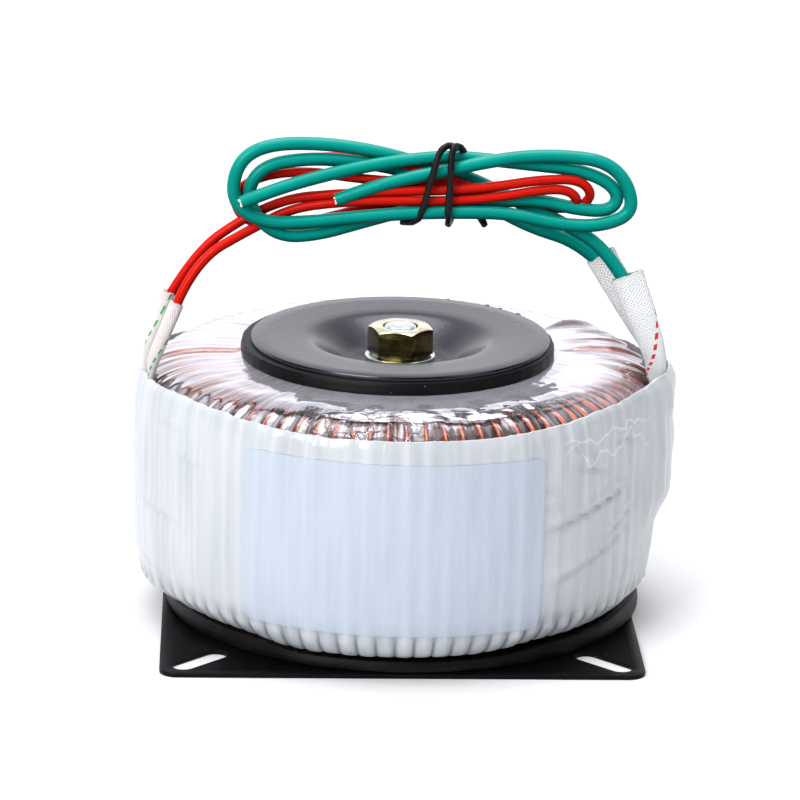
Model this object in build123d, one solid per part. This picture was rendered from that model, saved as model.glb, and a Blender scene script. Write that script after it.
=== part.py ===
from build123d import *
import math
import os

# Toroidal power transformer on a square steel base plate, with flying leads. Millimetres, +Z up.
# The origin is on the bolt's axis at the plate's underside. The rating label faces -Y, the two
# red primary leads leave on the -X side and the two green secondary leads on the +X side.

# ---- base plate and the lower pad ----
plate_side = 106.6
plate_t = 1.0
plate_corner_r = 4.0
slot_length = 15.2
slot_width = 5.3
slot_centre_r = 63.0        # slot centre to bolt axis, along the plate's diagonal
cup_height = 6.0            # raised centre of the plate, which takes the bolt head
cup_floor_r = 12.0
cup_foot_r = 17.0
bolt_hole_r = 4.3
lower_pad_r = 54.2
lower_pad_t = 2.2
lower_pad_bore_r = 21.0
lower_pad_shift = (1.4, 1.2)    # the pad's bore is loose on the cup, so it sits off centre

# ---- wound toroid ----
turns = 84                  # secondary turns in one layer
wire_d = 1.6
toroid_bottom = plate_t + lower_pad_t
toroid_top = 58.7
film_outer_r = 57.75
film_bore_r = 20.4
film_t = 0.2
film_gap = 0.15             # film to wire
film_flats = turns // 2     # the film pulls flat between the turns
rim_shoulder = 4.6          # 45 degree shoulder at the top rim
foot_steps = (              # the foot is rounded in two steps: in from the side, up from below
    (7.15, 0.0),
    (1.75, 6.8),
    (0.0, 18.8),
)
layer_gap = 0.3
interlayer_t = 0.4
inner_flats = turns // 3    # flats of the wraps that the turns lie on
core_r_in = 29.6
core_r_out = 49.4
core_z = (11.0, 51.0)
core_insulation_t = 0.9

# ---- white outer band and the label ----
band_t = 0.65
band_ridge = 0.2            # ridge over each turn, above and below the mean radius
band_levels = (             # height, mean radius, shares of the right and left bulges
    (4.2, 52.6, 0.0, 0.0),
    (7.0, 55.6, 0.0, 0.2),
    (11.0, 57.2, 0.0, 0.7),
    (20.0, 58.45, 0.0, 1.0),
    (31.0, 58.65, 1.0, 1.0),
    (54.0, 58.55, 1.0, 1.0),
    (55.6, 58.1, 1.0, 1.0),
)
right_bulge = 3.6           # over the two green sleeves
left_bulge = 1.6            # over the two red sleeves
right_bulge_angle = -7.0    # degrees about +Z, from +X
left_bulge_angle = 191.0
bulge_half_angle = 19.0
label_width = 68.0
label_height = 39.2
label_bottom = 11.2
label_t = 0.12
label_lift = 0.25           # its back, above the band's mean radius
label_angle = -93.8
label_corner_r = 1.5

# ---- clamping hardware, M8 ----
upper_pad_r = 35.3
upper_pad_t = 3.2
upper_pad_bore_r = 21.6
dish_r = 34.1
dish_t = 1.0
dish_depth = 5.9
dish_rim_r = 20.4
dish_lip_r = 18.4           # the lip between rim and bowl is turned in two steps
dish_lip_drop = 0.7
dish_floor_r = 12.0
washer_r = 8.0
washer_t = 1.6
nut_af = 13.0
nut_h = 6.5
nut_turn = -11.4            # one corner of the nut, degrees from +X
bolt_r = 3.95
bolt_head_h = 5.3
bolt_above_nut = 0.3
thread_gap = 0.05

# ---- leads, sleeves, hank and tie ----
red_d = 2.2
green_d = 3.0
sleeve_wall = 0.3
sleeve_sides = 12
hank_y = (-12.0, -4.0)
waist_x = 9.7               # where the tie draws the hank in
waist_z = (91.6, 107.6)
waist_length = 7.0
left_eye = (-23.4, 98.9, 15.5, 11.6)    # centre in X and Z, half length, half height
right_eye = (37.6, 98.3, 14.4, 9.7)
tie_width = 1.9
tie_t = 0.9
tie_pitch = 4.3             # between its two wraps
tie_knot_r = 1.3

# heights of the stack, worked out from the sizes above
pad_top = toroid_top + upper_pad_t
dish_top = pad_top + dish_t
dish_floor = dish_top - dish_depth
nut_bottom = dish_floor + washer_t
nut_top = nut_bottom + nut_h
bolt_top = nut_top + bolt_above_nut

# Each sleeve: its flat foot under the band (radius, angle, width along the rim, thickness, bottom),
# then its free end from base to mouth (place, width across the view, width along Y).
red_foot = (58.38, 4.2, 1.2, 44.0)
green_foot = (59.42, 6.2, 3.2, 34.0)
sleeve_foot_top = 57.9
red_sleeves = {
    "rear": (188.2, (-57.3, -8.1, 57.3), (2.9, 2.9), (-52.1, -7.0, 74.6), (3.3, 3.3)),
    "front": (194.2, (-56.3, -14.0, 57.3), (2.9, 2.9), (-50.2, -12.0, 73.3), (3.3, 3.3)),
}
green_sleeves = {
    "rear": (-3.2, (58.4, -3.4, 57.9), (5.6, 3.4), (44.4, -3.0, 83.0), (7.6, 4.6)),
    "front": (-10.8, (57.6, -11.1, 57.9), (5.6, 3.4), (50.0, -8.4, 79.8), (7.6, 4.6)),
}

# Each lead's free stretch, from inside its sleeve's mouth to the hank.
red_routes = {
    "rear": [(-52.9, -7.2, 72.0), (-49.2, -6.5, 84.5), (-35.5, -6.5, 92.0)],
    "front": [(-51.1, -12.3, 71.0), (-46.6, -10.8, 82.6), (-33.1, -8.4, 89.9)],
}
green_routes = {
    "rear": [(44.5, -3.0, 80.8), (39.6, -3.2, 85.8), (27.5, -5.4, 90.0)],
    "front": [(49.9, -8.6, 77.7), (45.4, -7.7, 85.4), (36.2, -7.0, 90.9)],
}


def ring_outline(depth):
    """The wound ring's outline in the radial plane, moved inwards by a depth. Its corners are the
    bore's foot, the foot's edge, its knee, the side's foot and head, the rim and the bore's head."""
    low, high = toroid_bottom, toroid_top
    foot = [(film_outer_r - step_in, low + step_up) for step_in, step_up in foot_steps]
    rim = [(film_outer_r, high - rim_shoulder), (film_outer_r - rim_shoulder, high)]
    corners = [Vector(*p) for p in [(film_bore_r, low), *foot, *rim, (film_bore_r, high)]]
    moved = []
    for before, corner, after in zip(corners[-1:] + corners[:-1], corners, corners[1:] + corners[:1]):
        come, go = (corner - before).normalized(), (after - corner).normalized()
        inwards = Vector(-come.Y, come.X) + Vector(-go.Y, go.X)
        moved.append(corner + inwards * (depth / (1 + come.dot(go))))
    return moved


def faceted_ring(depth, flats):
    """A ring with flat facets, whose outside lies at a depth under the film's outside. Its foot is
    cut twice, first to the slope of the side above the knee and then below the knee."""
    bore_foot, foot, knee, side, shoulder, rim, bore_head = ring_outline(depth)
    ring = extrude(RegularPolygon(side.X, flats), rim.Y - foot.Y)
    ring = chamfer(ring.faces().sort_by(Axis.Z)[-1].edges(), rim.Y - shoulder.Y)
    slope = (side.X - knee.X) / (side.Y - knee.Y)
    first_cut = slope * (side.Y - foot.Y)
    under = ring.faces().sort_by(Axis.Z)[0]
    ring = chamfer(under.edges(), first_cut, side.Y - foot.Y, reference=under)
    under = ring.faces().sort_by(Axis.Z)[0]
    knee_length = (knee.Y - foot.Y) * math.hypot(1, slope)
    ring = chamfer(under.edges(), side.X - first_cut - foot.X, knee_length, reference=under)
    bore = extrude(RegularPolygon(bore_foot.X, flats, major_radius=False), bore_head.Y - bore_foot.Y)
    return Pos(0, 0, foot.Y) * (ring - bore)


# ---- base ----
def base_plate():
    plate = RectangleRounded(plate_side, plate_side, plate_corner_r)
    slot = SlotOverall(slot_length, slot_width)
    for corner in (45, 135, 225, 315):
        plate -= Rot(0, 0, corner) * Pos(slot_centre_r, 0) * slot
    sheet = extrude(plate - Circle(cup_foot_r), plate_t)
    top = cup_height + plate_t
    wall_shift = plate_t * 0.5
    section = Polygon(
        (cup_foot_r, 0), (cup_foot_r - wall_shift, 0), (cup_floor_r - wall_shift, cup_height),
        (bolt_hole_r, cup_height), (bolt_hole_r, top), (cup_floor_r, top), (cup_foot_r, plate_t),
        align=None,
    )
    cup = revolve(Plane.XZ * section, Axis.Z)
    return sheet + cup


def lower_rubber_pad():
    pad = extrude(Circle(lower_pad_r) - Circle(lower_pad_bore_r), lower_pad_t)
    return Pos(*lower_pad_shift, plate_t) * pad


# ---- wound toroid, from the core outwards ----
wire_depth = film_t + film_gap
wrap_depth = wire_depth + wire_d + layer_gap
film_sag = film_outer_r * (1 - math.cos(math.pi / film_flats))     # how far its flats lie inside


def toroid_core():
    low, high = core_z
    return Pos(0, 0, low) * extrude(Circle(core_r_out) - Circle(core_r_in), high - low)


def core_box(t):
    """The core's wrap as a faceted ring, t outside the core."""
    low, high = core_z
    outer_r = core_r_out / math.cos(math.pi / inner_flats) + t
    bore_r = core_r_in * math.cos(math.pi / inner_flats) - t
    outline = RegularPolygon(outer_r, inner_flats) - RegularPolygon(bore_r, inner_flats, major_radius=False)
    return Pos(0, 0, low - t) * extrude(outline, high - low + 2 * t)


def core_insulation():
    return core_box(core_insulation_t) - core_box(0)


def primary_winding():
    return faceted_ring(wrap_depth + interlayer_t, inner_flats) - core_box(core_insulation_t)


def interlayer_insulation():
    return faceted_ring(wrap_depth, inner_flats) - faceted_ring(wrap_depth + interlayer_t, inner_flats)


def turn_outline(depth):
    """One turn's outline in the radial plane, a depth inside the wire's outside."""
    foot, *side, head = ring_outline(wire_depth + depth)
    points = [foot, *(p - Vector(film_sag, 0) for p in side), head]
    return Polygon(*[(p.X, p.Y) for p in points], align=None)


def secondary_winding():
    """Copper turns laid side by side round the ring, flat on its top and closest at its bore."""
    loop = turn_outline(0) - turn_outline(wire_d)
    turn = extrude(Plane.XZ * loop, wire_d / 2, both=True)
    return Compound([Rot(0, 0, k * 360 / turns) * turn for k in range(turns)])


def clear_film_wrap():
    return faceted_ring(0, film_flats) - faceted_ring(film_t, film_flats)


def bulge(angle, right_share, left_share):
    """How far the band stands out over the sleeves at an angle about the axis."""
    right = (right_bulge_angle, right_share * right_bulge)
    left = (left_bulge_angle, left_share * left_bulge)
    out = 0.0
    for centre, height in (right, left):
        off = abs((angle - centre + 180) % 360 - 180)
        if off < bulge_half_angle:
            out += height * min(1.0, 1.6 * math.cos(math.radians(90 * off / bulge_half_angle)))
    return out


def band_section(level, inside):
    """The band's outline at one height: a ridge over each turn and a hollow between two."""
    z, mean_r, right_share, left_share = level
    count = turns if inside else 2 * turns
    points = []
    for k in range(count):
        angle = 360 * k / count
        wave = -band_t if inside else band_ridge * (-1) ** k
        r = mean_r + wave + bulge(angle, right_share, left_share)
        points.append((r * math.cos(math.radians(angle)), r * math.sin(math.radians(angle))))
    return Pos(0, 0, z) * make_face(Polyline(points, close=True))


def outer_white_band():
    outer = loft([band_section(level, False) for level in band_levels], ruled=True)
    inner = loft([band_section(level, True) for level in band_levels], ruled=True)
    return outer - inner


def band_mean_r(z):
    """The band's mean radius at a height, between the levels below and above it."""
    for (low, low_r, *_), (high, high_r, *_) in zip(band_levels, band_levels[1:]):
        if low <= z <= high:
            return low_r + (high_r - low_r) * (z - low) / (high - low)
    raise ValueError(f"the band has no height {z}")


def rating_label():
    """A paper label with rounded corners, laid on the band's ridges."""
    low, high = label_bottom, label_bottom + label_height
    heights = [low, *(z for z, *_ in band_levels if low < z < high), high]
    back = [(band_mean_r(z) + label_lift, z) for z in heights]
    front = [(r + label_t, z) for r, z in reversed(back)]
    shell = revolve(Plane.XZ * Polygon(*back, *front, align=None), Axis.Z)
    label_r = max(r for r, z in back)
    face_width = 2 * label_r * math.sin(label_width / 2 / label_r)
    outline = RectangleRounded(face_width, label_height, label_corner_r)
    middle = (low + high) / 2
    window = extrude(Plane((0, 0, middle), x_dir=(0, 1, 0), z_dir=(1, 0, 0)) * outline, 2 * label_r)
    return shell & (Rot(0, 0, label_angle) * window)


# ---- clamping hardware ----
def upper_rubber_pad():
    return Pos(0, 0, toroid_top) * extrude(Circle(upper_pad_r) - Circle(upper_pad_bore_r), upper_pad_t)


def dished_washer():
    """A pressed disc: flat rim, turned lip, bowl and flat floor round the bolt."""
    top = [
        (dish_r, dish_top), (dish_rim_r, dish_top), (dish_lip_r, dish_top - dish_lip_drop),
        (dish_floor_r, dish_floor), (bolt_hole_r, dish_floor),
    ]
    under = [(r, z - dish_t) for r, z in reversed(top)]
    return revolve(Plane.XZ * Polygon(*top, *under, align=None), Axis.Z)


def flat_washer():
    return Pos(0, 0, dish_floor) * extrude(Circle(washer_r) - Circle(bolt_hole_r), washer_t)


def hexagon(height, turned):
    """A hexagon bar whose corners are turned off at 30 degrees at both ends."""
    corner_r = nut_af / math.sqrt(3)
    flat_r = nut_af / 2
    drop = (corner_r - flat_r) * math.tan(math.radians(30))
    bar = extrude(RegularPolygon(corner_r, 6, rotation=turned), height)
    turning = Polygon(
        (0, 0), (flat_r, 0), (corner_r, drop), (corner_r, height - drop), (flat_r, height), (0, height),
        align=None,
    )
    return bar & revolve(Plane.XZ * turning, Axis.Z)


def hex_nut():
    bore = extrude(Circle(bolt_r + thread_gap), nut_h)
    return Pos(0, 0, nut_bottom) * (hexagon(nut_h, nut_turn) - bore)


def center_bolt():
    head = extrude(RegularPolygon(nut_af / math.sqrt(3), 6), bolt_head_h)
    shank = extrude(Circle(bolt_r), bolt_top - cup_height + bolt_head_h)
    shank = chamfer(shank.edges().group_by(Axis.Z)[-1], 0.8)
    return Pos(0, 0, cup_height - bolt_head_h) * (head + shank)


# ---- leads ----
def prism_between(base, mouth):
    """A twelve sided flat tube's solid form, from (place, widths) to (place, widths)."""
    (start, start_size), (end, end_size) = base, mouth
    direction = Vector(*end) - Vector(*start)
    sections = []
    for place, (across_x, across_y) in ((start, start_size), (end, end_size)):
        frame = Plane(place, x_dir=Vector(0, 1, 0).cross(direction), z_dir=direction)
        turns_of = [2 * math.pi * k / sleeve_sides for k in range(sleeve_sides)]
        corners = [(across_x / 2 * math.cos(a), across_y / 2 * math.sin(a)) for a in turns_of]
        sections.append(frame * make_face(Polyline(corners, close=True)))
    return loft(sections, ruled=True)


def lead_sleeve(foot, spec):
    """Woven sleeving, closed flat where it lies under the band and open at its mouth."""
    radius, width, thickness, bottom = foot
    angle, base, base_size, mouth, mouth_size = spec

    def body(wall):
        low, high = (radius, 0, bottom), (radius, 0, sleeve_foot_top)
        flat = (thickness - wall, width - wall)
        lying = Rot(0, 0, angle) * prism_between((low, flat), (high, flat))
        free = prism_between(
            (base, tuple(w - wall for w in base_size)), (mouth, tuple(w - wall for w in mouth_size))
        )
        return lying + free

    return body(0) - body(2 * sleeve_wall)


def bend_radii(route):
    """The largest arcs that a route's runs leave room for."""
    points = [Vector(*p) for p in route]
    runs = [b - a for a, b in zip(points, points[1:])]
    radii = []
    for before, after in zip(runs, runs[1:]):
        half_turn = math.radians(before.get_angle(after)) / 2
        radii.append(0.45 * min(before.length, after.length) / math.tan(half_turn))
    return radii


def lead(route, diameter):
    radii = bend_radii(route)
    path = FilletPolyline(*route, radius=radii)
    start = Plane(path @ 0, z_dir=path % 0)
    tube = sweep(start * Circle(diameter / 2), path=path)
    expected = math.pi * diameter**2 / 4 * path.length
    print(f"lead {diameter} mm: radii {[round(r, 1) for r in radii]}, length {path.length:.1f},",
          f"volume {tube.volume:.2f} of {expected:.2f}")
    return tube - lead_hank()


def lead_hank():
    """The outer shape of the four folded leads: two eyes and the waist that the tie draws in."""
    front, back = hank_y
    low, high = waist_z
    waist = Pos(waist_x, (low + high) / 2) * Rectangle(waist_length, high - low)
    waist_edges = waist.edges().sort_by(Axis.X)
    outline = waist
    for eye, waist_side in ((left_eye, waist_edges[:1]), (right_eye, waist_edges[-1:])):
        x, z, half_length, half_height = eye
        loop = Pos(x, z) * Ellipse(half_length, half_height)
        outline += make_hull(loop.edges() + waist_side)
    return extrude(Plane((0, front, 0), x_dir=(1, 0, 0), z_dir=(0, -1, 0)) * outline, front - back)


def twist_tie():
    """Two wraps of flat tie round the hank's waist, joined by their twist on top."""
    front, back = hank_y
    low, high = waist_z
    middle = (waist_x, (front + back) / 2, (low + high) / 2)
    around = Rectangle(back - front + 2 * tie_t, high - low + 2 * tie_t)
    wrap_outline = around - Rectangle(back - front, high - low)
    tie = Pos(waist_x, middle[1], high + tie_t + tie_knot_r / 2) * Box(tie_pitch, 2, tie_knot_r)
    for side in (-1, 1):
        frame = Plane(middle, x_dir=(0, 1, 0), z_dir=(1, 0, 0)).offset(side * tie_pitch / 2)
        tie += extrude(frame * wrap_outline, tie_width / 2, both=True)
    return tie


nodes = {
    "base_plate": base_plate,
    "lower_rubber_pad": lower_rubber_pad,
    "toroid_core": toroid_core,
    "core_insulation": core_insulation,
    "primary_winding": primary_winding,
    "interlayer_insulation": interlayer_insulation,
    "secondary_winding": secondary_winding,
    "clear_film_wrap": clear_film_wrap,
    "outer_white_band": outer_white_band,
    "rating_label": rating_label,
    "upper_rubber_pad": upper_rubber_pad,
    "dished_washer": dished_washer,
    "flat_washer": flat_washer,
    "hex_nut": hex_nut,
    "center_bolt": center_bolt,
    "lead_hank": lead_hank,
    "twist_tie": twist_tie,
}
for place in ("rear", "front"):
    nodes[f"red_lead_sleeve_{place}"] = lambda at=place: lead_sleeve(red_foot, red_sleeves[at])
    nodes[f"green_lead_sleeve_{place}"] = lambda at=place: lead_sleeve(green_foot, green_sleeves[at])
    nodes[f"red_lead_{place}"] = lambda at=place: lead(red_routes[at], red_d)
    nodes[f"green_lead_{place}"] = lambda at=place: lead(green_routes[at], green_d)

os.makedirs("parts", exist_ok=True)
for name, make in nodes.items():
    export_step(make(), f"parts/{name}.step")
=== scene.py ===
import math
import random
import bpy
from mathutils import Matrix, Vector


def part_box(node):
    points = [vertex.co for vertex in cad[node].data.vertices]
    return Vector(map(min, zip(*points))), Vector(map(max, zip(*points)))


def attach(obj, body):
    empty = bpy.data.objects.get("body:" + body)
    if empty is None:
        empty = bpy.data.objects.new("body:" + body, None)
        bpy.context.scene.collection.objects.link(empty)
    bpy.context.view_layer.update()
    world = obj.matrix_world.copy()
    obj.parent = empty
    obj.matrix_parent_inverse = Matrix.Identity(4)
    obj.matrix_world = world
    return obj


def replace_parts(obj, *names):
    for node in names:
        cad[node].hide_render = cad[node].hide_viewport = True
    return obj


bl_info = {
    "name": "Toroidal transformer",
    "version": (1, 0, 0),
    "blender": (4, 5, 0),
    "location": "View3D > Sidebar > Transformer",
    "description": "Dresses a toroidal power transformer with its windings, wraps, hardware and leads",
    "category": "Object",
}

import bpy
from bpy.props import FloatProperty, FloatVectorProperty, IntProperty, PointerProperty
from mathutils import Matrix, Vector, noise

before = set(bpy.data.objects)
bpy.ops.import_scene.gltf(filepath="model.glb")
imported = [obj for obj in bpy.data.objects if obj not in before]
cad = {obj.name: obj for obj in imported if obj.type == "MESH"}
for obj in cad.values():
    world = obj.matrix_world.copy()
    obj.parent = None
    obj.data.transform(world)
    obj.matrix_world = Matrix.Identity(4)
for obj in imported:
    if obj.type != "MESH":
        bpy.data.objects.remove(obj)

MM = 0.001


def span(node):
    """A CAD node's lowest and highest corner, in millimetres."""
    low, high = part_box(node)
    return low / MM, high / MM


FILM_LOW, FILM_HIGH = span("clear_film_wrap")
PAD_LOW, PAD_HIGH = span("upper_rubber_pad")
FOOT_PAD_LOW, FOOT_PAD_HIGH = span("lower_rubber_pad")
DISH_LOW, DISH_HIGH = span("dished_washer")

FILM_TOP = FILM_HIGH.z
FILM_R = FILM_HIGH.x
FILM_BORE_R = 20.4
# The ring's top is flat out to a radius, then falls in a rounded curve to its rim.
DOME_START_R = 41.0
DOME_DROP = 8.0
DOME_CURVE = 2.6
WIRE_D = 1.35
# Angles round the bolt's axis, in degrees: where each pair of sleeves comes out, where the film has
# its seam, and the middle of the label.
RIGHT_SLEEVES = -7.0
LEFT_SLEEVES = 191.0
FILM_SEAM = 178.7
LABEL_ANGLE = -93.2
LABEL_WIDTH = 69.4
BAND_TOP = 55.6
# The dish falls by this much from its rim to its bowl, and its rim lies this far inside the CAD node's.
DISH_FALL = 0.45
DISH_TRIM = 0.35
# The upper pad's overhang lies this far towards -X.
PAD_SHIFT = 0.6
ROUND_STEPS = 240

# ---- leads, in metres: the first three points of each are its free stretch in the CAD part ----
GREEN_FRONT = [
    (0.0499, -0.0086, 0.0777), (0.0454, -0.0077, 0.0854), (0.0362, -0.0070, 0.0909),
    (0.0259, -0.0056, 0.0953), (0.0146, -0.0055, 0.1011), (0.0056, -0.0056, 0.1035),
    (-0.0044, -0.0065, 0.1066), (-0.0167, -0.0080, 0.1090), (-0.0304, -0.0093, 0.1092),
    (-0.0372, -0.0100, 0.1051), (-0.0384, -0.0102, 0.0960), (-0.0315, -0.0104, 0.0913),
    (-0.0209, -0.0105, 0.0917), (-0.0099, -0.0105, 0.0930), (0.0012, -0.0105, 0.0940),
    (0.0123, -0.0105, 0.0943), (0.0234, -0.0105, 0.0942), (0.0346, -0.0105, 0.0916),
    (0.0440, -0.0104, 0.0914), (0.0508, -0.0102, 0.0944), (0.0494, -0.0100, 0.1012),
    (0.0446, -0.0098, 0.1059), (0.0364, -0.0098, 0.1071), (0.0270, -0.0100, 0.1071),
    (0.0176, -0.0103, 0.1057), (0.0087, -0.0105, 0.1036), (-0.0012, -0.0105, 0.1015),
    (-0.0089, -0.0103, 0.0991), (-0.0152, -0.0102, 0.0967),
]
GREEN_REAR = [
    (0.0445, -0.0030, 0.0808), (0.0396, -0.0032, 0.0858), (0.0275, -0.0054, 0.0900),
    (0.0169, -0.0055, 0.0961), (0.0079, -0.0055, 0.0999), (-0.0010, -0.0057, 0.1028),
    (-0.0111, -0.0070, 0.1048), (-0.0211, -0.0082, 0.1057), (-0.0312, -0.0088, 0.1042),
    (-0.0351, -0.0090, 0.0985), (-0.0329, -0.0088, 0.0921), (-0.0271, -0.0085, 0.0877),
    (-0.0186, -0.0082, 0.0884), (-0.0093, -0.0080, 0.0912), (0.0013, -0.0079, 0.0942),
    (0.0113, -0.0078, 0.0952), (0.0213, -0.0078, 0.0963), (0.0301, -0.0082, 0.0967),
    (0.0391, -0.0086, 0.0946), (0.0457, -0.0088, 0.0945), (0.0478, -0.0088, 0.0979),
    (0.0446, -0.0086, 0.1015), (0.0377, -0.0083, 0.1038), (0.0288, -0.0079, 0.1046),
    (0.0199, -0.0076, 0.1055), (0.0099, -0.0076, 0.1063), (0.0000, -0.0080, 0.1054),
    (-0.0100, -0.0094, 0.1041), (-0.0211, -0.0113, 0.1017), (-0.0303, -0.0126, 0.0990),
    (-0.0362, -0.0132, 0.0966),
]
RED_REAR = [
    (-0.0529, -0.0072, 0.0720), (-0.0466, -0.0065, 0.0834), (-0.0352, -0.0065, 0.0918),
    (-0.0254, -0.0078, 0.0965), (-0.0155, -0.0093, 0.0978), (-0.0033, -0.0103, 0.0989),
    (0.0088, -0.0104, 0.0991), (0.0199, -0.0104, 0.1001), (0.0298, -0.0104, 0.1018),
    (0.0386, -0.0102, 0.1020), (0.0418, -0.0092, 0.0984), (0.0394, -0.0070, 0.0949),
    (0.0337, -0.0058, 0.0940), (0.0236, -0.0064, 0.0962), (0.0123, -0.0076, 0.1000),
    (0.0012, -0.0080, 0.1004), (-0.0099, -0.0080, 0.1010), (-0.0210, -0.0068, 0.1024),
    (-0.0307, -0.0063, 0.1015), (-0.0374, -0.0062, 0.0980), (-0.0373, -0.0062, 0.0925),
    (-0.0311, -0.0062, 0.0891), (-0.0208, -0.0063, 0.0906), (-0.0120, -0.0065, 0.0933),
    (-0.0009, -0.0063, 0.0952), (0.0058, -0.0060, 0.0959),
]
RED_FRONT = [
    (-0.0511, -0.0123, 0.0710), (-0.0466, -0.0108, 0.0826), (-0.0331, -0.0084, 0.0899),
    (-0.0249, -0.0082, 0.0943), (-0.0143, -0.0096, 0.0961), (-0.0022, -0.0104, 0.0968),
    (0.0089, -0.0104, 0.0967), (0.0200, -0.0104, 0.0976), (0.0299, -0.0104, 0.0995),
    (0.0358, -0.0102, 0.0997), (0.0388, -0.0090, 0.0970), (0.0362, -0.0070, 0.0946),
    (0.0281, -0.0058, 0.0949), (0.0168, -0.0065, 0.0984), (0.0078, -0.0079, 0.1018),
    (-0.0010, -0.0056, 0.1035), (-0.0121, -0.0043, 0.1053), (-0.0221, -0.0044, 0.1048),
    (-0.0312, -0.0046, 0.1020), (-0.0365, -0.0050, 0.0970), (-0.0351, -0.0055, 0.0912),
    (-0.0264, -0.0058, 0.0888), (-0.0164, -0.0056, 0.0905), (-0.0064, -0.0052, 0.0928),
]
TIE = [
    (-0.0004, -0.0080, 0.0913), (0.0028, -0.0110, 0.0915), (0.0042, -0.0126, 0.0964),
    (0.0060, -0.0130, 0.1040), (0.0074, -0.0125, 0.1084), (0.0091, -0.0100, 0.1094),
    (0.0110, -0.0070, 0.1084), (0.0119, -0.0034, 0.1040), (0.0115, -0.0028, 0.0974),
    (0.0109, -0.0036, 0.0918), (0.0100, -0.0080, 0.0907), (0.0095, -0.0122, 0.0924),
    (0.0097, -0.0129, 0.0976), (0.0099, -0.0130, 0.1045), (0.0101, -0.0122, 0.1086),
    (0.0110, -0.0100, 0.1094), (0.0127, -0.0085, 0.1083), (0.0138, -0.0048, 0.1050),
    (0.0148, -0.0030, 0.0975), (0.0167, -0.0042, 0.0923), (0.0181, -0.0065, 0.0903),
]


# ---------------------------------------------------------------- making and shaping
def deselect():
    if bpy.context.mode != "OBJECT":
        bpy.ops.object.mode_set(mode="OBJECT")
    bpy.ops.object.select_all(action="DESELECT")


def pick(obj):
    deselect()
    obj.select_set(True)
    bpy.context.view_layer.objects.active = obj
    return obj


def edit(obj, kind="VERT"):
    pick(obj)
    bpy.ops.object.mode_set(mode="EDIT")
    bpy.ops.mesh.select_mode(type=kind)
    bpy.ops.mesh.select_all(action="SELECT")


def leave():
    bpy.ops.object.mode_set(mode="OBJECT")


def apply_modifiers(obj):
    pick(obj)
    for modifier in list(obj.modifiers):
        bpy.ops.object.modifier_apply(modifier=modifier.name)


def settle(obj):
    """Puts a piece's place and turn into its mesh, so that its object sits at the origin."""
    pick(obj)
    bpy.ops.object.transform_apply(location=True, rotation=True, scale=True)


def smooth(obj, degrees=35):
    pick(obj)
    bpy.ops.object.shade_smooth_by_angle(angle=math.radians(degrees))


def finish_piece(obj, name, material, stands_for=()):
    obj.name = name
    obj.data.name = name
    obj.data.materials.clear()
    obj.data.materials.append(material)
    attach(obj, "root")
    if stands_for:
        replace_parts(obj, *stands_for)
    return obj


def closed_loop(points):
    """Draws a closed loop of edges through (radius, height) points in millimetres, beside the bolt's
    axis, and leaves it open for editing."""
    deselect()
    bpy.ops.mesh.primitive_plane_add(size=MM, location=(0, 0, 0))
    loop = bpy.context.active_object
    edit(loop)
    bpy.ops.mesh.merge(type="CENTER")
    r, z = points[0]
    bpy.ops.transform.translate(value=(r * MM, 0, z * MM))
    for next_r, next_z in points[1:]:
        bpy.ops.mesh.extrude_region_move(
            TRANSFORM_OT_translate={"value": ((next_r - r) * MM, 0, (next_z - z) * MM)}
        )
        r, z = next_r, next_z
    leave()
    for v in loop.data.vertices:
        v.select = v.index in (0, len(points) - 1)
    for e in loop.data.edges:
        e.select = False
    bpy.ops.object.mode_set(mode="EDIT")
    bpy.ops.mesh.edge_face_add()
    return loop


def turned(profile, steps):
    """Spins a closed profile of (radius, height) points in millimetres round the bolt's axis."""
    obj = closed_loop(profile)
    bpy.ops.mesh.select_all(action="SELECT")
    bpy.ops.mesh.spin(steps=steps, angle=2 * math.pi, center=(0, 0, 0), axis=(0, 0, 1))
    bpy.ops.mesh.select_all(action="SELECT")
    bpy.ops.mesh.remove_doubles(threshold=0.002 * MM)
    bpy.ops.mesh.normals_make_consistent(inside=False)
    leave()
    smooth(obj, 40)
    return obj


def thicken(obj, thickness):
    """Gives an open sheet its wall, inwards from the faces' outer side."""
    edit(obj)
    bpy.ops.mesh.normals_make_consistent(inside=False)
    leave()
    wall = obj.modifiers.new("wall", "SOLIDIFY")
    wall.thickness = thickness * MM
    wall.offset = -1
    apply_modifiers(obj)


def press(obj, rule):
    """Moves each point of a mesh by a rule from (x, y, z) to (x, y, z), all in millimetres."""
    for v in obj.data.vertices:
        v.co = Vector(rule(*(v.co / MM))) * MM
    obj.data.update()


def press_round(obj, rule):
    """Moves each point by a rule from (angle in degrees, radius, height) to the same three."""

    def in_place(x, y, z):
        angle, r, height = rule(math.degrees(math.atan2(y, x)), math.hypot(x, y), z)
        return r * math.cos(math.radians(angle)), r * math.sin(math.radians(angle)), height

    press(obj, in_place)


def map_round(obj, name, rule):
    """A UV map of the turn round the axis, and of a rule from a point's (x, y, z) in metres."""
    layer = obj.data.uv_layers.new(name=name)
    for face in obj.data.polygons:
        corners = [obj.data.vertices[obj.data.loops[loop].vertex_index].co for loop in face.loop_indices]
        turns = [math.atan2(y, x) / (2 * math.pi) % 1 for x, y, z in corners]
        split = max(turns) - min(turns) > 0.5
        for loop, corner, turn in zip(face.loop_indices, corners, turns):
            layer.data[loop].uv = (turn + 1 if split and turn < 0.5 else turn, rule(*corner))


def polar_map(obj):
    """A UV map of the turn round the axis and of the distance from it in decimetres."""
    map_round(obj, "round", lambda x, y, z: math.hypot(x, y) * 10)


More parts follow.
